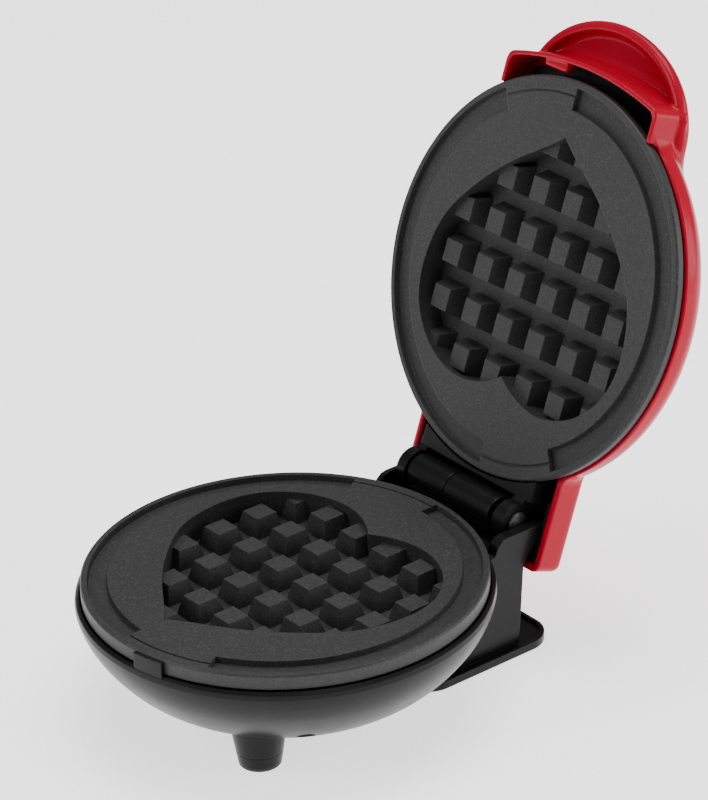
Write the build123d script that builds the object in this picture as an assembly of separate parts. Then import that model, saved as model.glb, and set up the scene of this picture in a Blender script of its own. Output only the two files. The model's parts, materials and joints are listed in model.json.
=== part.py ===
from build123d import *
import math
import os

# Mini round countertop waffle maker, millimetres, +Z up.
# Everything is first laid out in a working frame: origin at the centre of the
# lower plate, z = 0 at the top of its outer lip, handle towards -Y, hinge
# towards +Y.  The lid is laid out closed, then swung open about the hinge.

# ---------------------------------------------------------------- dimensions
LID_R = 63.5            # outer radius of the round lid: 127 mm across
RIM_R = 63.2            # outer radius of the base rim
BASE_H = 41.75          # lower lip top above the table
LID_TOP = 27.3          # top of the closed dome above the lower lip
GAP = 0.5               # gap between the two lips when closed
HINGE_Y = 70.75         # hinge axis
HINGE_Z = -0.6
OPEN_DEG = 110.4        # closed to fully open

LOWER_R = 61.2          # outer radius, lower cooking plate
UPPER_R = 62.0          # outer radius, upper cooking plate
LIP_W = 1.9             # width of the lip on each plate
DISK_R = 53.3           # raised inner disk of each plate
CHANNEL_D = 2.0         # depth of the overflow channel
SECTOR_DEG = 30.5       # arc of each filled sector of the channel
CAV_D = 9.0             # heart cavity depth below the plate face
PEG_D = 2.6             # peg faces below the plate face
PEG_FACE = 7.3          # peg face width
PEG_TAPER = 14.0        # draft of the pegs, degrees
PITCH = 14.85           # peg pitch
PEG_Y0 = 3.8            # y of one row of pegs
HEART_HALF = [(6.6, -39.7), (16.5, -33.3), (24.3, -27.3), (31.0, -21.0), (37.0, -14.3),
              (41.8, -7.2), (44.8, 1.5), (45.8, 10.3), (45.0, 17.2), (43.0, 22.8),
              (39.5, 27.9), (34.5, 32.6), (28.4, 36.0), (21.5, 37.9), (16.8, 38.1),
              (11.0, 37.2), (5.6, 35.2), (2.0, 33.2)]
HEART_TIP = -44.5
HEART_NOTCH = 31.8

WALL = 2.2              # moulded wall thickness
TOWER_X = 29.2          # half width of the hinge tower
FOOT_X = 32.2           # half width of the rear foot plate
FOOT_Y = 79.4           # rear edge of the foot plate
TAB_X = 33.2            # half width of the lid's rear tab
TAB_Y = 84.0            # rear edge of the lid's rear tab
TONGUE_A = 35.8         # handle tongue: half width
TONGUE_B = 29.0         # handle tongue: reach beyond its centre line
TONGUE_Y0 = -53.0
TONGUE_TOP = 17.0
TONGUE_RIM = 11.2
SKIRT_X = 33.6          # half width of the wall under the handle
SHELL_Z = 3.9           # lower edge of the lid shell

BARREL_R = 5.6          # hinge knuckles
BARREL_X = (-22.4, 16.2)
BARREL_SEAM = -5.0
EAR_R = 6.3
EAR_L = (-26.6, -22.8)
EAR_RT = (19.0, 23.6)
PIN_R = 2.5
PIN_FIT = 0.05          # radial running clearance of the ears on the pin

LENS_R = 12.9
LENS_Y = 13.1
FEET = [(26.5, -31.5), (-26.5, -31.5)]
CORD_R = 3.6            # bore of the cord bushing
CORD_Z = -29.8

parts = {}
BASE, LID = "base", "lid"
body_of = {}


def add(name, solid, body):
    parts[name] = solid
    body_of[name] = body


# ------------------------------------------------------------------- helpers
def rev(pts, arc=360.0):
    return revolve(Plane.XZ * make_face(Polyline(*pts, close=True)), Axis.Z, arc)


def cyl(r, z0, z1, x=0.0, y=0.0):
    return Pos(x, y, z0) * Cylinder(r, z1 - z0, align=(Align.CENTER, Align.CENTER, Align.MIN))


def xcyl(r, x0, x1, y=0.0, z=0.0):
    return Pos(x0, y, z) * Rot(0, 90, 0) * Cylinder(r, x1 - x0, align=(Align.CENTER, Align.CENTER, Align.MIN))


def ycyl(r, y0, y1, x=0.0, z=0.0):
    return Pos(x, y0, z) * Rot(-90, 0, 0) * Cylinder(r, y1 - y0, align=(Align.CENTER, Align.CENTER, Align.MIN))


def block(x0, x1, y0, y1, z0, z1):
    return Pos((x0 + x1) / 2, (y0 + y1) / 2, (z0 + z1) / 2) * Box(x1 - x0, y1 - y0, z1 - z0)


def prism_x(pts, x0, x1):
    """polygon in (y, z), extruded along X"""
    f = make_face(Polyline(*[(p[0], p[1]) for p in pts], close=True))
    return extrude(Plane((x0, 0, 0), x_dir=(0, 1, 0), z_dir=(1, 0, 0)) * f, x1 - x0)


def prism_z(face, z0, z1):
    return extrude(Pos(0, 0, z0) * face, z1 - z0)


def soft(solid, edges, r):
    """round the edges, or leave them if the kernel can't"""
    for k in (1.0, 0.7, 0.45):
        try:
            out = fillet(edges, r * k)
            if out.is_valid and out.volume > 0.5 * solid.volume:
                return out
        except Exception:
            pass
    print("fillet left out", r)
    return solid


# ------------------------------------------------------------ cooking plates
def heart_face(off=0.0):
    """heart outline, moved outwards by off along its own normals"""
    half = [(0.0, HEART_TIP)] + HEART_HALF + [(0.0, HEART_NOTCH)]
    out = []
    for i in range(1, len(half) - 1):
        tx, ty = half[i + 1][0] - half[i - 1][0], half[i + 1][1] - half[i - 1][1]
        d = math.hypot(tx, ty)
        out.append((half[i][0] + off * ty / d, half[i][1] - off * tx / d))
    tip = (0.0, HEART_TIP - 1.3 * off)
    notch = (0.0, HEART_NOTCH + 1.2 * off)
    out = [q for q in out if q[0] > 1.5]
    right = Spline(tip, *out, notch)
    left = Spline(notch, *[(-q[0], q[1]) for q in reversed(out)], tip)
    return make_face(Wire([right, left]))


def sector(r0, r1, a0, a1, z0, z1):
    """part ring between the angles a0 and a1, degrees from +X"""
    f = Circle(r1) - Circle(r0)
    n = 12
    pts = [(0, 0)] + [(1.3 * r1 * math.cos(math.radians(a0 + (a1 - a0) * i / n)),
                       1.3 * r1 * math.sin(math.radians(a0 + (a1 - a0) * i / n))) for i in range(n + 1)]
    return prism_z(f & make_face(Polyline(*pts, close=True)), z0, z1)


def cooking_plate(R, wall_h, in_r):
    """face at z = 0 and body below it; front sector on the +X side"""
    body = rev([(0, 0), (R - 0.5, 0), (R, -0.6), (R, -wall_h), (in_r, -wall_h - 0.01), (in_r, -5.2), (0, -5.2)])
    ring = rev([(DISK_R, -CHANNEL_D), (R - LIP_W - 0.5, -CHANNEL_D), (R - LIP_W, 1), (DISK_R - 0.4, 1)])
    a = SECTOR_DEG
    keep = sector(DISK_R - 2, R - 0.8, -90 + 0.5, -90 + a, -3, 0) + sector(DISK_R - 2, R - 0.8, 90 + 0.5, 90 + a, -3, 0)
    body = body - (ring - keep)
    for c in (-90, 90):
        body = body - sector(57.0, 57.7, c + 0.5, c + a, -0.5, 1)
    well = prism_z(heart_face(2.4), -CAV_D - 2.4, -4.0)
    body = body + well
    cav = prism_z(heart_face(), -CAV_D, 1)
    body = body - cav
    face = PEG_FACE
    h = CAV_D - PEG_D
    foot = face + 2 * h * math.tan(math.radians(PEG_TAPER))
    sink = 0.3
    foot = foot + 2 * sink * math.tan(math.radians(PEG_TAPER))
    peg = extrude(Rectangle(foot, foot), h + sink, taper=PEG_TAPER)
    within = prism_z(heart_face(0.6), -CAV_D - 0.5, 0)
    for j in range(-3, 3):
        for i in range(-3, 3):
            p = Pos((i + 0.5) * PITCH, PEG_Y0 + j * PITCH, -CAV_D - sink) * peg
            q = p & within
            if q is None:
                continue
            for t in q.solids():
                if t.volume > 8:
                    body = body + t
    return body


lower = cooking_plate(LOWER_R, 4.6, 60.0)
# lugs under the plate take its screws
PLATE_SCREWS = [(34.5, 40.2), (-34.5, 40.2), (42.0, -26.0), (-42.0, -26.0)]
for x, y in PLATE_SCREWS:
    lower = lower + cyl(3.4, -8.0, -5.0, x, y)
    lower = lower - cyl(1.5, -8.1, -4.4, x, y)
add("lower_plate", lower, BASE)

upper = cooking_plate(UPPER_R, 2.6, 60.2)
for x, y in PLATE_SCREWS:
    upper = upper + cyl(3.4, -8.0, -5.0, x, y)
    upper = upper - cyl(1.5, -8.1, -4.4, x, y)
upper = Pos(0, 0, GAP) * Rot(0, 180, 0) * upper
UP_SCREWS = [(-x, y) for x, y in PLATE_SCREWS]
add("upper_plate", upper, LID)

# -------------------------------------------------------------- base housing
bowl_out = [(RIM_R, -7.2), (62.6, -10.0), (60.7, -14.6), (57.2, -19.9), (52.3, -25.5), (45.9, -30.5),
            (38.0, -34.3), (28.6, -36.7), (19.0, -37.6)]
bowl_curve = Spline(*bowl_out)
bowl_prof = make_face(Wire([bowl_curve,
                            Line((19.0, -37.6), (0, -37.6)), Line((0, -37.6), (0, -5.0)),
                            Line((0, -5.0), (62.0, -5.0)), Line((62.0, -5.0), (62.9, -5.7)), Line((62.9, -5.7), (RIM_R, -7.2))]))
bowl = revolve(Plane.XZ * bowl_prof, Axis.Z)
in_curve = Spline((60.9, -8.6), (58.6, -13.4), (55.3, -18.4), (50.6, -23.7), (44.5, -28.4), (36.9, -32.0), (27.9, -34.4), (19.0, -35.3))
in_prof = make_face(Wire([in_curve, Line((19.0, -35.3), (0, -35.3)), Line((0, -35.3), (0, -4.0)),
                          Line((0, -4.0), (61.5, -4.0)), Line((61.5, -4.0), (61.5, -8.2)), Line((61.5, -8.2), (60.9, -8.6))]))
bowl_in = revolve(Plane.XZ * in_prof, Axis.Z)

tower_side = [(57.4, -5.2), (58.6, -2.4), (60.4, -0.9), (62.6, -0.5), (77.6, -0.6), (78.0, -1.1),
              (68.6, -12.4), (66.6, -38.9), (34.0, -38.9), (34.0, -20.0), (50.0, -7.0)]
tower = prism_x(tower_side, -TOWER_X, TOWER_X)
housing = bowl + tower
# well between the cheeks, where the hinge turns
housing = housing - block(-27.4, 25.4, 61.8, 90, -7.4, 5)
housing = housing - block(-27.4, 25.4, 57.4, 62.0, -5.0, 5)
# hollow of the tower behind and below the bowl
cav_t = [(57.0, -9.6), (90.0, -9.6), (90.0, -36.9), (36.2, -36.9), (36.2, -30.0), (50.0, -24.0)]
housing = housing - prism_x(cav_t, -TOWER_X + 2.5, TOWER_X - 2.5)
housing = housing - bowl_in
# floor plate of the tower is open downwards for the foot plate's screws
housing = housing - block(-20, 20, 42, 60, -41, -36)
# short tab that fills the seam in front
tab = sector(61.35, 62.7, -90 + 8.2, -90 + 17.9, -7.0, -0.25)
housing = housing + tab
# feet spigots, plate screw posts, bottom screw posts
FEET_TOP = -32.5
for x, y in FEET:
    housing = housing + (Pos(x, y, -36.6) * extrude(Circle(7.2), 13.0, taper=-9) - bowl_in)
for x, y in PLATE_SCREWS:
    housing = housing + ((cyl(3.4, -24, -8.05, x, y)) & bowl)
    housing = housing - cyl(1.6, -40, -7, x, y)
    housing = housing - cyl(2.9, -40, -13.5, x, y)
BOT_SCREWS = [(-24.0, 56.0), (24.0, 56.0), (-24.0, 40.5), (24.0, 40.5)]
for x, y in BOT_SCREWS:
    housing = housing + cyl(2.5, -37.0, -31.0, x, y)
    housing = housing - cyl(1.2, -41, -32.0, x, y)
# saddles that carry the hinge knuckles
for x0, x1 in ((BARREL_X[0], BARREL_SEAM - 0.15), (BARREL_SEAM + 0.15, BARREL_X[1])):
    housing = housing + (block(x0 + 0.4, x1 - 0.4, HINGE_Y - 4.6, HINGE_Y + 1.6, -7.5, -1.0) - xcyl(BARREL_R, -40, 40, HINGE_Y, HINGE_Z))
if len(housing.solids()) > 1:
    housing = max(housing.solids(), key=lambda s: s.volume)
add("base_housing", housing, BASE)

# --------------------------------------------------------------- front feet
feet = []
pads = []
for x, y in FEET:
    f = Pos(x, y, -40.6) * extrude(Circle(6.56), 3.98, taper=-9)
    feet.append(f)
    p = Pos(x, y, -BASE_H) * Cylinder(6.45, 1.13, align=(Align.CENTER, Align.CENTER, Align.MIN))
    p = soft(p, p.edges().group_by(Axis.Z)[0], 0.7)
    pads.append(p)
add("front_feet", Compound(children=[f.solid() for f in feet]), BASE)
add("front_foot_pads", Compound(children=[p.solid() for p in pads]), BASE)

# ---------------------------------------------------------- rear foot plate
FP0 = 26.0
fp_sk = Pos(0, (FP0 + FOOT_Y) / 2) * RectangleRounded(2 * FOOT_X, FOOT_Y - FP0, 9.5)
foot = prism_z(fp_sk, -41.2, -39.4)
fp_in = Pos(0, (FP0 + FOOT_Y) / 2) * RectangleRounded(2 * FOOT_X - 2.6, FOOT_Y - FP0 - 2.6, 8.2)
foot = foot + (prism_z(fp_sk, -39.5, -38.6) - prism_z(fp_in, -40, -38))
foot = foot + (prism_z(Pos(0, 50.4) * Rectangle(2 * TOWER_X - 1, 31.4), -39.5, -38.92))
for x, y in BOT_SCREWS:
    foot = foot - cyl(1.5, -43, -38, x, y)
    foot = foot - cyl(2.6, -43, -40.3, x, y)
RPADS = [(25.4, 72.6), (-25.4, 72.6)]
for x, y in RPADS:
    foot = foot - cyl(4.4, -43, -40.6, x, y)
add("foot_plate", foot, BASE)
rp = [Pos(x, y, -BASE_H) * Cylinder(4.3, 1.13, align=(Align.CENTER, Align.CENTER, Align.MIN)) for x, y in RPADS]
add("rear_foot_pads", Compound(children=[p.solid() for p in rp]), BASE)

bs = []
for x, y in BOT_SCREWS:
    s = cyl(2.4, -41.1, -40.32, x, y) + cyl(1.18, -40.4, -32.3, x, y)
    s = s - (Pos(x, y, -41.1) * Box(3.0, 0.6, 0.8)) - (Pos(x, y, -41.1) * Box(0.6, 3.0, 0.8))
    bs.append(s.solid())
add("base_screws", Compound(children=bs), BASE)

# ----------------------------------------------------------- tower rear cover
rc = [(71.0, -9.65), (68.45, -12.6), (66.6, -36.85), (64.3, -36.85), (66.1, -12.9), (68.2, -9.65)]
cover = prism_x(rc, -TOWER_X + 2.6, TOWER_X - 2.6)
boss = ycyl(6.4, 60.2, 66.2, 0, CORD_Z)
cover = cover + (boss & block(-10, 10, 58, 66.9, -36.85, -20))
cover = cover - ycyl(5.2, 55, 75, 0, CORD_Z)
add("tower_rear_cover", cover, BASE)
# cord bushing: flanged collar with the cord's bore
gl = ycyl(5.2, 60.6, 68.6, 0, CORD_Z) + ycyl(6.6, 67.6, 69.7, 0, CORD_Z)
gl = gl - ycyl(CORD_R, 50, 80, 0, CORD_Z)
gl = soft(gl, gl.edges().group_by(Axis.Y)[-1].sort_by(SortBy.LENGTH)[-1:], 0.8)
add("cord_bushing", gl, BASE)

# ---------------------------------------------------------------- the hinge
kn_bore = xcyl(PIN_R, -40, 40, HINGE_Y, HINGE_Z)
kl = xcyl(BARREL_R, BARREL_X[0], BARREL_SEAM - 0.12, HINGE_Y, HINGE_Z) - kn_bore
kl = soft(kl, kl.edges().filter_by(GeomType.CIRCLE).sort_by(SortBy.RADIUS)[-2:], 0.5)
kr = xcyl(BARREL_R, BARREL_SEAM + 0.12, BARREL_X[1], HINGE_Y, HINGE_Z) - kn_bore
kr = soft(kr, kr.edges().filter_by(GeomType.CIRCLE).sort_by(SortBy.RADIUS)[-2:], 0.5)
add("hinge_knuckle_left", kl, BASE)
add("hinge_knuckle_right", kr, BASE)
pin = xcyl(PIN_R, EAR_L[0] - 0.6, EAR_RT[1] + 0.2, HINGE_Y, HINGE_Z)
head = Pos(EAR_RT[1] + 0.15, HINGE_Y, HINGE_Z) * Rot(0, 90, 0) * revolve(
    Plane.XZ * make_face(Wire([Line((0, 0), (3.6, 0)), Line((3.6, 0), (3.6, 0.35)),
                               Spline((3.6, 0.35), (2.6, 0.85), (0, 1.1), tangents=[(-0.4, 1), (-1, 0)]), Line((0, 1.1), (0, 0))])), Axis.Z)
pin = pin + head
add("hinge_pin", pin, BASE)
clip = xcyl(4.2, EAR_L[0] - 0.65, EAR_L[0] - 0.15, HINGE_Y, HINGE_Z) - xcyl(PIN_R, -40, 40, HINGE_Y, HINGE_Z)
add("pin_clip", clip, BASE)

# --------------------------------------------------------- inside the base
EL_R, EL_T = 36.0, 3.1


def element(zc):
    ring = Rot(0, 0, -60) * revolve(Pos(0, 0, 0) * Plane.XZ * (Pos(EL_R, 0) * Circle(EL_T)), Axis.Z, 300)
    out = ring
    for a in (-60, 240):
        x, y = EL_R * math.cos(math.radians(a)), EL_R * math.sin(math.radians(a))
        out = out + Pos(x, y, 0) * Rot(0, 0, 0) * cyl(1.6, -7.0, 0)
    return Pos(0, 0, zc) * out


ZE = -CAV_D - 2.4 - EL_T - 0.02
add("lower_heating_element", element(ZE), BASE)
ZC = ZE - EL_T - 0.02
cl = (cyl(40.0, ZC - 1.2, ZC) - cyl(29.0, ZC - 2, ZC + 1))
for a in (-60, 240):
    cl = cl - cyl(3.0, ZC - 3, ZC + 2, EL_R * math.cos(math.radians(a)), EL_R * math.sin(math.radians(a)))
cl = cl + block(-29.5, 29.5, -4, 4, ZC - 1.2, ZC)
cl = cl - cyl(2.2, ZC - 3, ZC + 1)
add("lower_element_clamp", cl, BASE)
ZT = -CAV_D - 2.4
th = cyl(8.0, ZT - 5.0, ZT - 0.02, 0, 16.0) + block(-11.5, 11.5, 14.4, 17.6, ZT - 1.2, ZT - 0.02)
add("thermostat", th, BASE)
ZS = ZC - 1.3 - 2.2
hs = rev([(0, ZS), (41.2, ZS), (44.0, ZS + 2.4), (44.8, ZS + 2.0), (41.8, ZS - 0.8), (0, ZS - 0.8)])
hs = hs + cyl(2.1, ZS, ZC - 1.22)
for a in (-60, 240):
    hs = hs - cyl(3.2, ZS - 3, ZS + 2, EL_R * math.cos(math.radians(a)), EL_R * math.sin(math.radians(a)))
add("lower_heat_shield", hs, BASE)
fu = xcyl(1.9, -9, 9, -8, ZS - 0.8 - 2.0)
fu = fu + xcyl(0.6, -15, 15, -8, ZS - 2.8)
add("thermal_fuse", fu, BASE)
tb = block(-15, 15, 46.0, 56.0, -38.9, -30.9)
for i in range(3):
    tb = tb - cyl(2.2, -34.9, -29, -9.5 + 9.5 * i, 51)
add("terminal_block", tb, BASE)
ps = []
for x, y in PLATE_SCREWS:
    s = cyl(1.5, -14.0, -5.2, x, y) + cyl(2.7, -15.4, -13.52, x, y)
    s = s - (Pos(x, y, -15.4) * Box(3.4, 0.6, 1.4)) - (Pos(x, y, -15.4) * Box(0.6, 3.4, 1.4))
    ps.append(s.solid())
add("lower_plate_screws", Compound(children=ps), BASE)

# ------------------------------------------------------------------ lid shell
DB, DZ, DA = LID_TOP - 7.2, 7.2, 62.7


def dome_z(r, a=DA, b=DB, z0=DZ):
    return z0 + b * math.sqrt(max(0.0, 1 - (r / a) ** 2))


dome_pts = [(62.55, 8.5)] + [(DA * math.cos(t), DZ + DB * math.sin(t)) for t in [math.radians(v) for v in (8, 14, 22, 32, 44, 58, 74, 90)]]
dc = Spline(*dome_pts, tangents=[(-0.15, 1), (-1, 0)])
outer = make_face(Wire([dc, Line((0, LID_TOP), (0, SHELL_Z)), Line((0, SHELL_Z), (62.9, SHELL_Z)),
                        Line((62.9, SHELL_Z), (LID_R, SHELL_Z + 1.0)), Line((LID_R, SHELL_Z + 1.0), (LID_R, 7.2)),
                        Line((LID_R, 7.2), (63.1, 8.1)), Line((63.1, 8.1), (62.55, 8.5))]))
dome = revolve(Plane.XZ * outer, Axis.Z)
ia, ib = DA - 2.3, DB - 2.3
in_pts = [(ia * math.cos(t), DZ + ib * math.sin(t)) for t in [math.radians(v) for v in (4, 14, 22, 32, 44, 58, 74, 90)]]
ic = Spline(*in_pts)
inner = make_face(Wire([ic, Line(in_pts[-1], (0, SHELL_Z - 1)), Line((0, SHELL_Z - 1), (61.0, SHELL_Z - 1)),
                        Line((61.0, SHELL_Z - 1), (61.0, 7.0)), Line((61.0, 7.0), in_pts[0])]))
dome_in = revolve(Plane.XZ * inner, Axis.Z)


def tongue_face(off=0.0):
    e = Pos(0, TONGUE_Y0) * Ellipse(TONGUE_A - off, TONGUE_B - off)
    return e & (Pos(0, TONGUE_Y0 - 30) * Rectangle(120, 60))


def skirt_face(off=0.0):
    x = SKIRT_X - off
    y1, ym = -62.2 + off, -67.6 + off
    r = 2.4
    w = Wire([Line((-x, -40), (-x, y1 + r)), ThreePointArc((-x, y1 + r), (-x + 0.75, y1 + 0.3), (-x + r, y1 - 0.7)),
              ThreePointArc((-x + r, y1 - 0.7), (0, ym), (x - r, y1 - 0.7)),
              ThreePointArc((x - r, y1 - 0.7), (x - 0.75, y1 + 0.3), (x, y1 + r)), Line((x, y1 + r), (x, -40)), Line((x, -40), (-x, -40))])
    return make_face(w)


tongue = prism_z(tongue_face(), TONGUE_RIM, TONGUE_TOP)
tongue = soft(tongue, tongue.edges().group_by(Axis.Z)[-1].filter_by(GeomType.LINE, reverse=True), 2.6)
skirt = prism_z(skirt_face(), GAP, TONGUE_TOP - 1.0)
tabo = prism_z(Pos(0, 61.15) * RectangleRounded(2 * TAB_X, 2 * (TAB_Y - 61.15), 3.0), SHELL_Z, TONGUE_TOP - 0.4)
tabo = soft(tabo, tabo.edges().group_by(Axis.Z)[-1], 2.2)
shell = dome + tongue + skirt + tabo
shell = shell - dome_in
shell = shell - (prism_z(skirt_face(2.3), GAP - 1, 11.9) - cyl(50, -5, 40))
rec = prism_z(tongue_face(2.2), TONGUE_RIM - 7, TONGUE_TOP - 2.4) - prism_z(skirt_face(), -5, 30) - cyl(LID_R + 0.2, -5, 30)
shell = shell - rec
# the wall under the handle stands clear of the plate
shell = shell - cyl(UPPER_R + 0.4, -5, SHELL_Z)
shell = shell - (block(-TAB_X + 2.3, TAB_X - 2.3, 50, TAB_Y - 2.3, SHELL_Z - 1, 11.6) - cyl(54, -5, 30))
# raised collar round the lamp window, and the window itself
col = cyl(14.7, 20, LID_TOP + 0.6, 0, LENS_Y)
col = soft(col, col.edges().group_by(Axis.Z)[-1], 1.0)
col = col - (dome_in + cyl(60, -10, 22))
shell = shell + col
shell = shell - cyl(LENS_R + 0.35, 10, 40, 0, LENS_Y)
# pegs under the dome that take the liner's screws
LID_SCREWS = [(52.0, 10.0), (-52.0, 10.0), (28.5, -44.7), (-28.5, -44.7)]
for x, y in LID_SCREWS:
    shell = shell + ((cyl(3.2, 12.05, 24, x, y)) & (dome - cyl(0.01, -5, -4)))
    shell = shell - cyl(1.2, 11, 17.0, x, y)
# catch tab inside the front wall
shell = shell + (block(-17.7, -7.9, -66.5, -62.8, 1.4, 4.0) & prism_z(skirt_face(), -5, 30))
if len(shell.solids()) > 1:
    print("shell solids", [round(s.volume) for s in shell.solids()])
    shell = max(shell.solids(), key=lambda s: s.volume)
add("lid_shell", shell, LID)

# ------------------------------------------------------------------ lid liner
liner = rev([(49.2, 9.6), (58.4, 9.6), (59.6, 8.2), (59.9, 6.0), (49.2, 6.0)])
# flat apron beside the hinge, level with the plate's face
liner_ap = block(-26.0, 26.0, 48, 63.5, GAP, 9.9) - cyl(UPPER_R + 0.35, -2, 5.9)
liner_ap = liner_ap - (block(-23.8, 23.8, 40, 61.3, 2.9, 7.6) - cyl(UPPER_R + 2.0, -2, 30))
liner = liner + liner_ap
ret = block(-30.6, 30.6, 55.5, 81.2, 10.5, 11.4) - cyl(55.0, 0, 30)
for sx in (-1, 1):
    ret = ret + block(min(sx * 29.6, sx * 30.6), max(sx * 29.6, sx * 30.6), 62.0, 81.2, 4.3, 11.4)
liner = liner + block(-24.0, 24.0, 57.0, 61.0, 9.7, 10.7) + ret
# front flange that closes the hollow under the handle
flange = (prism_z(skirt_face(2.9), 10.4, 11.4) & block(-40, 40, -80, -44, 0, 20)) - cyl(56.0, 0, 30)
link = (cyl(58.9, 9.4, 10.6) - cyl(56.0, 9, 11)) & block(-26, 26, -62, -44, 9, 11)
liner = liner + link + flange
liner = liner - cyl(49.2, 5, 12) - prism_z(heart_face(3.2), 3.0, 12.0)


def ear(x0, x1):
    p = prism_x([(58.0, 2.0), (63.4, GAP), (HINGE_Y - 1.0, -EAR_R + 0.4), (HINGE_Y + 3, 5.0), (63.5, 9.6), (58, 9.6)], x0, x1)
    return p + xcyl(EAR_R, x0, x1, HINGE_Y, HINGE_Z)


for x0, x1 in (EAR_L, EAR_RT):
    e = ear(x0, x1) - cyl(UPPER_R + 0.35, -8, 5.9)
    liner = liner + e
liner = liner - xcyl(BARREL_R + 0.5, BARREL_X[0] - 0.35, EAR_RT[0] - 0.02, HINGE_Y, HINGE_Z)
liner = liner - xcyl(PIN_R + PIN_FIT, -40, 40, HINGE_Y, HINGE_Z)
for x, y in LID_SCREWS:
    liner = liner + cyl(4.2, 8.7, 12.0, x, y)
    liner = liner - cyl(1.5, 5, 13, x, y)
    liner = liner - cyl(2.6, 5, 8.7, x, y)
for x, y in UP_SCREWS:
    liner = liner + (cyl(3.6, 8.52, 12.0, x, y))
    liner = liner - cyl(1.6, 5, 13, x, y)
    liner = liner - cyl(3.6, 5.0, 8.52, x, y)
# rib behind the catch tab
liner = liner + block(-14.0, -11.0, -60.9, -58.0, 6.3, 9.5)
if len(liner.solids()) > 1:
    print("liner solids", [round(s.volume) for s in liner.solids()])
    liner = max(liner.solids(), key=lambda s: s.volume)
add("lid_liner", liner, LID)

# ------------------------------------------------------- lamp window and lamp
lens = cyl(LENS_R, LID_TOP - 2.2, LID_TOP + 0.35, 0, LENS_Y)
lens = soft(lens, lens.edges().group_by(Axis.Z)[-1], 0.6)
lens = lens + (cyl(LENS_R - 0.1, 21.6, LID_TOP - 2.0, 0, LENS_Y) - cyl(LENS_R - 1.6, 21.5, LID_TOP - 2.2, 0, LENS_Y))
add("indicator_lens", lens, LID)
lr = cyl(16.0, 20.35, 21.55, 0, LENS_Y) - cyl(LENS_R - 1.8, 20, 22, 0, LENS_Y)
add("lens_retainer", lr & (dome_in + cyl(LENS_R, 20, 22, 0, LENS_Y)), LID)
bd = block(-10, 10, LENS_Y - 7, LENS_Y + 7, 18.6, 20.2)
add("indicator_board", bd, LID)
lm = [xcyl(1.5, -8, 8, LENS_Y + d, 20.24 + 1.5).solid() for d in (-3.2, 3.2)]
add("indicator_lamps", Compound(children=lm), LID)

# ---------------------------------------------------------- inside the lid
UZ = GAP + CAV_D + 2.4
el = Rot(0, 180, 0) * element(0)
el = el & block(-60, 60, -60, 60, -4, 6.0)
ZE2 = UZ + EL_T + 0.02
el = Pos(0, 0, ZE2) * el
el = el & dome_in
add("upper_heating_element", el, LID)
ZC2 = ZE2 + EL_T + 0.02
cl2 = cyl(36.5, ZC2, ZC2 + 0.9) - cyl(27.0, ZC2 - 1, ZC2 + 2)
for a in (-60, 240):
    x, y = -EL_R * math.cos(math.radians(a)), EL_R * math.sin(math.radians(a))
    cl2 = cl2 - cyl(3.4, ZC2 - 1, ZC2 + 3, x, y)
    cl2 = cl2
cl2 = cl2 & (dome_in - cyl(0.01, -9, -8))
add("upper_element_clamp", cl2, LID)
hs2 = rev([(0, ZE2 - 1.0), (29.0, ZE2 - 1.0), (31.5, ZC2 - 0.4), (32.0, ZC2 - 0.4), (32.0, ZC2 - 1.0), (30.0, ZE2 - 1.9), (0, ZE2 - 1.9)])
add("upper_heat_shield", hs2, LID)
us = []
for x, y in UP_SCREWS:
    s = cyl(1.5, GAP + 5.2, 12.4, x, y) + cyl(2.7, 12.02, 13.6, x, y)
    us.append((s & (dome_in - cyl(0.01, -9, -8))).solid())
add("upper_plate_screws", Compound(children=us), LID)
ls = []
for x, y in LID_SCREWS:
    s = cyl(1.2, 8.0, 16.0, x, y) + cyl(2.4, 6.6, 8.66, x, y)
    ls.append(s.solid())
add("lid_screws", Compound(children=ls), LID)

# ------------------------------------------------------ placing in the frame
hinge = Pos(0, HINGE_Y, HINGE_Z)
swing = hinge * Rot(-OPEN_DEG, 0, 0) * Pos(0, -HINGE_Y, -HINGE_Z)
lo = [1e9] * 3
hi = [-1e9] * 3
placed = {}
for n, s in parts.items():
    t = (swing * s) if body_of[n] == LID else s
    placed[n] = t
    b = t.bounding_box()
    for i, (u, v) in enumerate(((b.min.X, b.max.X), (b.min.Y, b.max.Y), (b.min.Z, b.max.Z))):
        lo[i] = min(lo[i], u)
        hi[i] = max(hi[i], v)
shift = Pos(-(lo[0] + hi[0]) / 2, -(lo[1] + hi[1]) / 2, -lo[2])
print("working-frame box", [round(v, 3) for v in lo], [round(v, 3) for v in hi])
print("shift", -(lo[0] + hi[0]) / 2, -(lo[1] + hi[1]) / 2, -lo[2])
os.makedirs("parts", exist_ok=True)
for n, s in placed.items():
    s = shift * s
    bad = [k for k in s.solids() if not k.is_valid]
    print(n, body_of[n], len(s.solids()), round(s.volume, 1), "INVALID" if bad else "")
    export_step(s, os.path.join("parts", n + ".step"))
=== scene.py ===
import bpy
import bmesh
import math
import json
import numpy as np
from mathutils import Vector, Matrix


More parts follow.
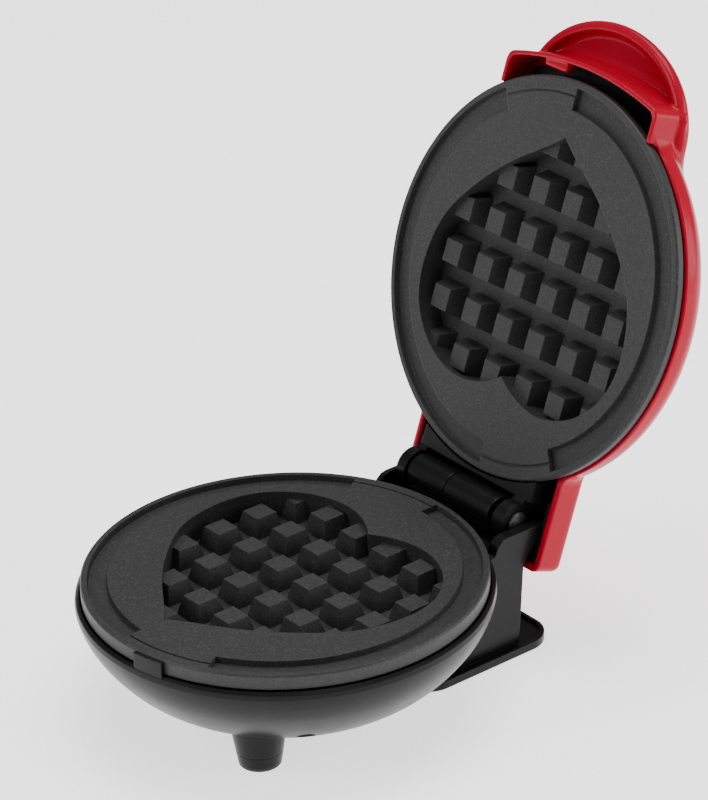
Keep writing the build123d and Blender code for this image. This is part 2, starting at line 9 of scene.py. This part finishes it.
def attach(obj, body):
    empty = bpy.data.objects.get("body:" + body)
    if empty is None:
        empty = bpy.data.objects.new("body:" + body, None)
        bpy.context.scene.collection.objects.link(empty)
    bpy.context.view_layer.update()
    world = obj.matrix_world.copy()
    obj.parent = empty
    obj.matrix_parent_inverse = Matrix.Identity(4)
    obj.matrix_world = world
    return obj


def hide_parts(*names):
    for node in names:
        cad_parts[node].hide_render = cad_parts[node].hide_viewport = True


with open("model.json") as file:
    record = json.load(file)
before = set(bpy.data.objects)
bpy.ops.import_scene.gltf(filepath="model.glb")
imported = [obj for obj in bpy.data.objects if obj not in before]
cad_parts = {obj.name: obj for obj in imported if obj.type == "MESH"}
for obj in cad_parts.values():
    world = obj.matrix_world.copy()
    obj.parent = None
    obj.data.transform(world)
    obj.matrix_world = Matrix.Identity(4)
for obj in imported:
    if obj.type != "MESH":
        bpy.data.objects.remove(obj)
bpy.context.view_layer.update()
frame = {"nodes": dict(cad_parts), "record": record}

NODES = frame["nodes"]

# ------------------------------------------------------------ placing numbers
# working frame of the model (mm): centre of the lower plate, z = 0 at its lip
HINGE_Y, HINGE_Z, OPEN = 70.75, -0.6, math.radians(110.4)
_J = [j for j in frame["record"]["behaviour"]["joints"] if j["name"] == "lid_hinge"][0]["pos_m"]
SHIFT_Y, SHIFT_Z = _J[1] * 1000.0 - HINGE_Y, _J[2] * 1000.0 - HINGE_Z


def W(x, y, z):
    """working millimetres, base side, to metres in the frame"""
    return Vector((x / 1000.0, (y + SHIFT_Y) / 1000.0, (z + SHIFT_Z) / 1000.0))


def L(x, y, z):
    """working millimetres on the closed lid, to metres in the frame with the lid open"""
    c, s = math.cos(-OPEN), math.sin(-OPEN)
    dy, dz = y - HINGE_Y, z - HINGE_Z
    return W(x, HINGE_Y + dy * c - dz * s, HINGE_Z + dy * s + dz * c)


# -------------------------------------------------------------------- camera
def make_camera():
    cam = bpy.data.cameras.new("camera")
    ob = bpy.data.objects.new("camera", cam)
    bpy.context.scene.collection.objects.link(ob)
    loc = Vector((0.76949, -0.567253 + SHIFT_Y / 1000.0, 0.54537 + SHIFT_Z / 1000.0))
    fw = Vector((-0.70391, 0.54463, -0.45596)).normalized()
    up = Vector((-0.34049, 0.30462, 0.88953)).normalized()
    r = fw.cross(up).normalized()
    up = r.cross(fw).normalized()
    m = Matrix(((r.x, up.x, -fw.x, loc.x), (r.y, up.y, -fw.y, loc.y), (r.z, up.z, -fw.z, loc.z), (0, 0, 0, 1)))
    ob.matrix_world = m
    cam.sensor_width = 36.0
    cam.sensor_fit = "AUTO"
    cam.lens = 3686.27 * 36.0 / 800.0
    cam.clip_start = 0.01
    cam.clip_end = 20
    bpy.context.scene.camera = ob
    return ob


make_camera()


# ----------------------------------------------------------------- materials
class NT:
    def __init__(self, name):
        self.m = bpy.data.materials.new(name)
        self.m.use_nodes = True
        self.t = self.m.node_tree
        self.t.nodes.clear()
        self.out = self.n("ShaderNodeOutputMaterial")
        self.b = self.n("ShaderNodeBsdfPrincipled")
        self.link(self.b, 0, self.out, 0)
        self.co = self.n("ShaderNodeTexCoord")

    def n(self, kind, **kw):
        x = self.t.nodes.new(kind)
        for k, v in kw.items():
            setattr(x, k, v)
        return x

    def link(self, a, i, b, j):
        self.t.links.new(a.outputs[i], b.inputs[j])

    def set(self, **kw):
        for k, v in kw.items():
            self.b.inputs[k.replace("_", " ")].default_value = v
        return self

    def noise(self, scale, detail=4.0, rough=0.5, dist=0.0, stretch=None):
        x = self.n("ShaderNodeTexNoise")
        x.inputs["Scale"].default_value = scale
        x.inputs["Detail"].default_value = detail
        x.inputs["Roughness"].default_value = rough
        x.inputs["Distortion"].default_value = dist
        if stretch:
            mp = self.n("ShaderNodeMapping")
            mp.inputs["Scale"].default_value = stretch
            self.link(self.co, "Object", mp, "Vector")
            self.link(mp, "Vector", x, "Vector")
        else:
            self.link(self.co, "Object", x, "Vector")
        return x

    def rng(self, src, out, a, b, c, d):
        x = self.n("ShaderNodeMapRange")
        self.link(src, out, x, "Value")
        for k, v in zip(("From Min", "From Max", "To Min", "To Max"), (a, b, c, d)):
            x.inputs[k].default_value = v
        return x

    def ramp(self, src, out, stops):
        x = self.n("ShaderNodeValToRGB")
        self.link(src, out, x, "Fac")
        e = x.color_ramp.elements
        while len(e) < len(stops):
            e.new(0.5)
        for i, (p, c) in enumerate(stops):
            e[i].position = p
            e[i].color = (*c, 1.0)
        return x

    def edges(self, radius):
        """light catches the small radius on every moulded edge"""
        x = self.n("ShaderNodeBevel", samples=4)
        x.inputs["Radius"].default_value = radius
        self.link(x, "Normal", self.b, "Normal")

    def bump(self, src, out, strength, dist):
        x = self.n("ShaderNodeBump")
        x.inputs["Strength"].default_value = strength
        x.inputs["Distance"].default_value = dist
        self.link(src, out, x, "Height")
        prev = self.b.inputs["Normal"].links
        if prev:
            src_n = prev[0].from_node
            self.t.links.new(src_n.outputs[prev[0].from_socket.name], x.inputs["Normal"])
        self.link(x, "Normal", self.b, "Normal")
        return x


def red_plastic():
    k = NT("red_gloss_plastic")
    k.set(IOR=1.22, Coat_Weight=0.03, Coat_Roughness=0.05)
    a = k.noise(9, 3)
    r = k.ramp(a, "Fac", [(0.3, (0.33, 0.0006, 0.014)), (0.7, (0.37, 0.0008, 0.018))])
    k.link(r, "Color", k.b, "Base Color")
    s = k.noise(60, 5, 0.6)
    q = k.rng(s, "Fac", 0.35, 0.7, 0.17, 0.25)
    k.link(q, "Result", k.b, "Roughness")
    f = k.noise(220, 2)
    k.bump(f, "Fac", 0.03, 0.0002)
    return k.m


def black_plastic(name="black_satin_plastic", base=0.005, rough=(0.26, 0.36), grain=0.08):
    k = NT(name)
    k.set(IOR=1.24)
    k.edges(0.0006)
    a = k.noise(25, 4)
    r = k.ramp(a, "Fac", [(0.3, (base * 0.9,) * 3), (0.7, (base * 1.15, base * 1.15, base * 1.18))])
    k.link(r, "Color", k.b, "Base Color")
    s = k.noise(70, 5, 0.6)
    q = k.rng(s, "Fac", 0.3, 0.7, rough[0], rough[1])
    k.link(q, "Result", k.b, "Roughness")
    f = k.noise(2600, 2)
    k.bump(f, "Fac", grain, 0.00006)
    return k.m


def nonstick():
    k = NT("nonstick_coating")
    k.set(IOR=1.3)
    k.edges(0.00045)
    fine = k.noise(1500, 2, 0.6)
    broad = k.noise(14, 3)
    mix = k.n("ShaderNodeMix", data_type="RGBA")
    r1 = k.ramp(fine, "Fac", [(0.36, (0.020, 0.020, 0.021)), (0.56, (0.030, 0.030, 0.031)), (0.70, (0.062, 0.062, 0.064))])
    r2 = k.ramp(broad, "Fac", [(0.3, (0.026, 0.026, 0.027)), (0.7, (0.036, 0.036, 0.037))])
    mix.inputs["Factor"].default_value = 0.45
    k.link(r1, "Color", mix, "A")
    k.link(r2, "Color", mix, "B")
    k.link(mix, "Result", k.b, "Base Color")
    q = k.rng(fine, "Fac", 0.3, 0.75, 0.36, 0.52)
    k.link(q, "Result", k.b, "Roughness")
    k.bump(fine, "Fac", 0.18, 0.00008)
    wide = k.noise(320, 3)
    k.bump(wide, "Fac", 0.05, 0.0001)
    return k.m


def lens_blue():
    k = NT("tinted_lens")
    k.set(IOR=1.49, Transmission_Weight=0.45)
    a = k.noise(40, 3)
    r = k.ramp(a, "Fac", [(0.3, (0.004, 0.16, 0.30)), (0.7, (0.012, 0.26, 0.44))])
    k.link(r, "Color", k.b, "Base Color")
    s = k.noise(160, 4)
    q = k.rng(s, "Fac", 0.3, 0.7, 0.04, 0.10)
    k.link(q, "Result", k.b, "Roughness")
    return k.m


def rubber():
    k = NT("pad_rubber")
    a = k.noise(300, 4)
    r = k.ramp(a, "Fac", [(0.3, (0.012, 0.012, 0.012)), (0.7, (0.022, 0.022, 0.022))])
    k.link(r, "Color", k.b, "Base Color")
    q = k.rng(a, "Fac", 0.3, 0.7, 0.6, 0.8)
    k.link(q, "Result", k.b, "Roughness")
    k.bump(a, "Fac", 0.2, 0.0001)
    return k.m


def metal(name, col, rough=(0.25, 0.4), stretch=(1, 1, 1), metallic=1.0):
    k = NT(name)
    k.set(Metallic=metallic)
    a = k.noise(400, 4, 0.6, 0.0, stretch)
    r = k.ramp(a, "Fac", [(0.3, tuple(c * 0.85 for c in col)), (0.7, col)])
    k.link(r, "Color", k.b, "Base Color")
    q = k.rng(a, "Fac", 0.3, 0.7, rough[0], rough[1])
    k.link(q, "Result", k.b, "Roughness")
    k.bump(a, "Fac", 0.05, 0.00005)
    return k.m


MAT = {
    "red_shell": red_plastic(),
    "black_plastic": black_plastic(),
    "nonstick_plate": nonstick(),
    "blue_lens": lens_blue(),
    "rubber_pads": rubber(),
    "screw_steel": metal("zinc_steel", (0.55, 0.55, 0.56)),
    "sheet_aluminium": metal("sheet_aluminium", (0.75, 0.75, 0.77), (0.3, 0.45), (1, 6, 1)),
    "element_tube": metal("element_sheath", (0.30, 0.28, 0.27), (0.4, 0.6)),
    "white_plastic": black_plastic("white_moulding", 0.72, (0.35, 0.5), 0.05),
    "lamp_glass": metal("lamp_bulb", (0.9, 0.6, 0.4), (0.1, 0.2), (1, 1, 1), 0.0),
    "black_pin": metal("blackened_pin", (0.03, 0.03, 0.032), (0.28, 0.4), (1, 1, 1), 0.3),
}

SLOT = {s["node"]: s.get("material_slot", s["node"]) for s in frame["record"]["subparts"]}
for name, ob in NODES.items():
    m = MAT[SLOT[name]]
    if not ob.material_slots:
        ob.data.materials.append(m)
    for s in ob.material_slots:
        s.material = m

# ------------------------------------------------- lid shell as a smooth mesh
# The shell is a distance field on a grid in the closed lid's own frame (mm),
# with smooth blends where the mouldings flow into each other, turned into quads.
def smin(a, b, k):
    h = np.clip(0.5 + 0.5 * (b - a) / k, 0, 1)
    return b * (1 - h) + a * h - k * h * (1 - h)


def smax(a, b, k):
    return -smin(-a, -b, k)


def rbox(px, py, hx, hy, r):
    qx, qy = np.abs(px) - (hx - r), np.abs(py) - (hy - r)
    return np.hypot(np.maximum(qx, 0), np.maximum(qy, 0)) + np.minimum(np.maximum(qx, qy), 0) - r


def slab(d2, z, z0, z1, r):
    """plan distance d2 between z0 and z1 with edges rounded by r"""
    w = np.abs(z - (z0 + z1) / 2) - (z1 - z0) / 2
    a, b = d2 + r, w + r
    return np.minimum(np.maximum(a, b), 0) + np.hypot(np.maximum(a, 0), np.maximum(b, 0)) - r


def ell2(px, py, a, b):
    """near distance to an ellipse's outline"""
    k0 = np.hypot(px / a, py / b)
    k1 = np.hypot(px / (a * a), py / (b * b)) + 1e-9
    return k0 * (k0 - 1) / k1


def shell_outer(x, y, z):
    r = np.hypot(x, y)
    # dome: quarter ellipse over a straight band
    zz = np.maximum(z - 7.2, 0)
    k0 = np.sqrt((r / 62.7) ** 2 + (zz / 20.1) ** 2)
    k1 = np.sqrt((r / 62.7 ** 2) ** 2 + (zz / 20.1 ** 2) ** 2) + 1e-9
    dome = k0 * (k0 - 1) / k1
    dome = np.where(z < 7.2, r - 62.7, dome)
    dome = smax(dome, 3.9 - z, 0.3)
    return dome, r


def tongue2(x, y, off=0.0):
    """plan of the handle tongue"""
    d = ell2(x, y + 53.0, 35.8 - off, 29.0 - off)
    side = np.abs(x) - (35.8 - off)
    return np.where(y > -53.0, np.maximum(side, y + 40.0), d)


def skirt2(x, y, off=0.0):
    """plan of the wall under the handle: straight sides, bowed front"""
    ym = -67.6 + 5.0 * (x / 33.6) ** 2 + off
    return smax(smax(np.abs(x) - (33.6 - off), (ym - y) * 0.97, 2.6), y + 40.0, 0.2)


def flare(z):
    """how far the handle's sides lie inside their widest line at a height"""
    return 2.2 * (1 - np.clip((z - 10.6) / 4.6, 0, 1)) ** 1.6


def shell_field(x, y, z):
    dome, r = shell_outer(x, y, z)
    # tongue: its top falls gently towards the tip
    top = 17.0 - 1.8 * np.clip((-56.0 - y) / 25.0, -0.4, 1.2)
    fl = flare(z)
    t2 = tongue2(x, y, fl)
    s2 = skirt2(x, y)
    side = np.maximum(smax(np.abs(x) - (35.8 - fl), (-62.6 - y) * 0.97, 2.6), y + 46.0)
    low = np.minimum(s2, side)
    # above the recess everything follows the tongue's outline
    tong = smax(t2, 11.2 - z, 0.7)
    sk = smax(low, 0.5 - z, 0.6)
    sk = np.maximum(sk, z - 13.2)
    hand = smin(tong, sk, 1.0)
    hand = smax(hand, z - top, 5.0)
    body = smin(dome, hand, 3.4)
    # rear tab
    tab2 = rbox(x, y - 61.0, 33.2, 23.0, 3.0)
    tab = smax(tab2, z - 14.3, 3.2)
    tab = smax(tab, 3.9 - z, 0.4)
    body = smin(body, tab, 2.6)
    # flat lower edge of the band
    body = np.maximum(body, np.where(np.maximum(y + 50.0, 0) > 0, 3.9 - z, -9.0))
    return body, s2, t2


def shell_full(x, y, z):
    body, s2, t2 = shell_field(x, y, z)
    r = np.hypot(x, y)
    # hollow of the dome
    zz = np.maximum(z - 7.2, 0)
    k0 = np.sqrt((r / 60.4) ** 2 + (zz / 17.8) ** 2)
    k1 = np.sqrt((r / 60.4 ** 2) ** 2 + (zz / 17.8 ** 2) ** 2) + 1e-9
    din = np.where(z < 7.2, r - 60.4, k0 * (k0 - 1) / k1)
    din = np.where(z < 5.0, r - 61.0, din)
    body = smax(body, -din, 0.3)
    # hollow behind the wall, open to the plate
    h2 = skirt2(x, y, 1.5)
    hw = np.maximum(np.maximum(h2, z - 12.0), 48 - r)
    body = smax(body, -hw, 0.5)
    body = smax(body, -np.maximum(r - 62.4, z - 3.9), 0.2)
    # finger recess between the wall and the tongue's rim
    t_in = tongue2(x, y, 4.5)
    rf = np.maximum(t_in, -(s2 - 0.0))
    rec = smax(smax(rf, z - 14.0, 2.4), 4.0 - z, 0.2)
    rec = smax(rec, 63.9 - r, 0.3)
    body = smax(body, -rec, 0.8)
    # hollow of the rear tab
    q = rbox(x, y - 61.0, 31.0, 20.8, 1.6)
    hr = np.maximum(np.maximum(q, z - 12.0), 54 - r)
    body = smax(body, -hr, 0.5)
    return body


def field(x, y, z):
    b = shell_full(x, y, z)
    d = np.hypot(x, y - 13.1)
    col = smax(smax(d - 14.9, z - 28.0, 1.2), 22.5 - z, 0.2)
    b = smin(b, col, 1.0)
    b = smax(b, 13.2 - d, 0.5)
    # short catch tab inside the front wall
    t = np.maximum(rbox(x + 12.8, y + 64.6, 4.9, 1.9, 0.8), np.abs(z - 3.0) - 1.7)
    return smin(b, t, 0.6)


def surface_nets(f, lo, hi, h, name):
    """quads on the zero level of f, vertices moved onto it"""
    n = [int(math.ceil((hi[i] - lo[i]) / h)) + 1 for i in range(3)]
    ax = [lo[i] + h * np.arange(n[i]) for i in range(3)]
    X, Y, Z = np.meshgrid(*ax, indexing="ij")
    D = f(X, Y, Z).astype(np.float32)
    S = D < 0
    nx, ny, nz = [k - 1 for k in n]
    acc = np.zeros((nx, ny, nz, 3), np.float32)
    cnt = np.zeros((nx, ny, nz), np.float32)
    corners = [(i, j, k) for i in (0, 1) for j in (0, 1) for k in (0, 1)]
    for a in range(3):
        o1, o2 = [b for b in range(3) if b != a]
        for u in (0, 1):
            for v in (0, 1):
                c0 = [0, 0, 0]
                c0[o1], c0[o2] = u, v
                c1 = list(c0)
                c1[a] = 1
                d0 = D[c0[0]:c0[0] + nx, c0[1]:c0[1] + ny, c0[2]:c0[2] + nz]
                d1 = D[c1[0]:c1[0] + nx, c1[1]:c1[1] + ny, c1[2]:c1[2] + nz]
                cr = (d0 < 0) != (d1 < 0)
                t = np.where(cr, d0 / np.where(cr, d0 - d1, 1), 0)
                for b in range(3):
                    acc[..., b] += np.where(cr, (c0[b] + (t if b == a else 0)), 0)
                cnt += cr
    act = cnt > 0
    idx = -np.ones((nx, ny, nz), np.int64)
    idx[act] = np.arange(act.sum())
    ii = np.argwhere(act)
    P = ii + acc[act] / cnt[act][:, None]
    P = np.array(lo) + h * P
    P = P.astype(np.float64)
    # move onto the level set
    e = 0.05
    for it in range(4):
        v = f(P[:, 0], P[:, 1], P[:, 2])
        g = np.stack([f(*(P + e * np.eye(3)[b]).T) - f(*(P - e * np.eye(3)[b]).T) for b in range(3)], 1) / (2 * e)
        g2 = (g ** 2).sum(1) + 1e-6
        step = -(v / g2)[:, None] * g
        ln = np.linalg.norm(step, axis=1, keepdims=True)
        P = P + step * np.minimum(1, 0.25 * h / (ln + 1e-9)) * 0.9
    quads = []
    for a in range(3):
        o1, o2 = [(1, 2), (2, 0), (0, 1)][a]
        sl0 = [slice(1, k - 1) for k in n]
        sl1 = [slice(1, k - 1) for k in n]
        sl0[a] = slice(0, n[a] - 1)
        sl1[a] = slice(1, n[a])
        s0, s1 = S[tuple(sl0)], S[tuple(sl1)]
        for inv, m in ((False, s0 & ~s1), (True, ~s0 & s1)):
            w = np.argwhere(m)
            w = w + np.array([0 if b == a else 1 for b in range(3)])
            q = []
            for du, dv in ((0, 0), (1, 0), (1, 1), (0, 1)):
                c = w.copy()
                c[:, o1] -= 1 - du
                c[:, o2] -= 1 - dv
                q.append(idx[c[:, 0], c[:, 1], c[:, 2]])
            q = np.stack(q, 1)
            if inv:
                q = q[:, ::-1]
            quads.append(q)
    quads = np.concatenate(quads)
    return P, quads


def mesh_object(name, P, quads):
    me = bpy.data.meshes.new(name)
    me.vertices.add(len(P))
    me.vertices.foreach_set("co", P.astype(np.float32).ravel())
    me.loops.add(quads.size)
    me.loops.foreach_set("vertex_index", quads.astype(np.int32).ravel())
    me.polygons.add(len(quads))
    me.polygons.foreach_set("loop_start", np.arange(0, quads.size, 4, dtype=np.int32))
    me.update(calc_edges=True)
    me.validate()
    for p in me.polygons:
        p.use_smooth = True
    ob = bpy.data.objects.new(name, me)
    bpy.context.scene.collection.objects.link(ob)
    return ob


def lid_points(P):
    """closed-lid millimetres to metres in the frame, lid open"""
    c, s = math.cos(-OPEN), math.sin(-OPEN)
    dy, dz = P[:, 1] - HINGE_Y, P[:, 2] - HINGE_Z
    return np.stack([P[:, 0], HINGE_Y + dy * c - dz * s + SHIFT_Y, HINGE_Z + dy * s + dz * c + SHIFT_Z], 1) / 1000.0


def base_points(P):
    return (P + np.array([0, SHIFT_Y, SHIFT_Z])) / 1000.0


def make_shell():
    P, Q = surface_nets(field, (-64.5, -83.5, -0.6), (64.5, 85.5, 29.5), 0.62, "shell")
    ob = mesh_object("lid_shell_moulded", lid_points(P), Q)
    ob.data.materials.append(MAT["red_shell"])
    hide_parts("lid_shell")
    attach(ob, "lid")
    return ob


make_shell()


# ------------------------------------------------------------ lamp window
def lens_field(x, y, z):
    """shallow round window with fine upright ribs moulded inside"""
    d = np.hypot(x, y - 13.1)
    top = 27.9 - 0.0022 * d * d
    b = smax(d - 12.75, z - top - 0.16 * np.abs(np.cos(np.pi * x / 2.3)), 0.7)
    rib = 0.5 * np.abs(np.cos(np.pi * x / 2.3))
    return smax(b, (25.2 + rib) - z, 0.15)


def revolved(name, prof, n=96, closed=True):
    """profile of (radius, z) turned about Z, in closed-lid or base millimetres"""
    P, Q = [], []
    m = len(prof)
    for i in range(n):
        t = 2 * math.pi * i / n
        for r, z in prof:
            P.append((r * math.cos(t), r * math.sin(t), z))
    for i in range(n):
        j = (i + 1) % n
        for k in range(m if closed else m - 1):
            l = (k + 1) % m
            Q.append((i * m + k, i * m + l, j * m + l, j * m + k))
    return np.array(P, float), np.array(Q)


def make_lens():
    P, Q = surface_nets(lens_field, (-13.6, -0.6, 23.9), (13.6, 26.8, 28.8), 0.2, "lens")
    ob = mesh_object("indicator_lens_ribbed", lid_points(P), Q)
    ob.data.materials.append(MAT["blue_lens"])
    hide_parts("indicator_lens")
    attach(ob, "lid")


make_lens()


# ---------------------------------------------------------------- floor, light
def plane(name, size, loc, mat):
    me = bpy.data.meshes.new(name)
    h = size / 2
    me.from_pydata([(-h, -h, 0), (h, -h, 0), (h, h, 0), (-h, h, 0)], [], [(0, 1, 2, 3)])
    ob = bpy.data.objects.new(name, me)
    ob.location = loc
    bpy.context.scene.collection.objects.link(ob)
    me.materials.append(mat)
    return ob


def floor_mat():
    k = NT("pale_floor")
    a = k.noise(3, 2)
    r = k.ramp(a, "Fac", [(0.3, (0.86, 0.86, 0.86)), (0.7, (0.88, 0.88, 0.88))])
    k.link(r, "Color", k.b, "Base Color")
    k.set(Roughness=0.6, Emission_Color=(1, 1, 1, 1), Emission_Strength=1.45)
    return k.m


plane("floor", 12.0, (0, 0, 0), floor_mat())

world = bpy.data.worlds.new("studio")
bpy.context.scene.world = world
world.use_nodes = True
wn = world.node_tree
bg = wn.nodes["Background"]
bg.inputs[0].default_value = (1, 1, 1, 1)
bg.inputs[1].default_value = 0.30


def area(name, loc, target, size, power, size_y=None, col=(1, 1, 1)):
    li = bpy.data.lights.new(name, "AREA")
    li.shape = "RECTANGLE"
    li.size = size
    li.size_y = size_y or size
    li.energy = power
    li.color = col
    ob = bpy.data.objects.new(name, li)
    ob.location = loc
    d = Vector(target) - Vector(loc)
    ob.rotation_euler = d.to_track_quat("-Z", "Y").to_euler()
    bpy.context.scene.collection.objects.link(ob)
    return ob


area("top", (-0.15, 0.25, 1.5), (0, 0.0, 0.05), 1.1, 22, 1.1)
area("right", (0.92, 0.86, 0.46), (0.0, 0.0, 0.09), 0.95, 12, 0.75)
area("front", (-0.5, -1.35, 0.95), (0, 0.05, 0.1), 0.9, 13, 0.9)
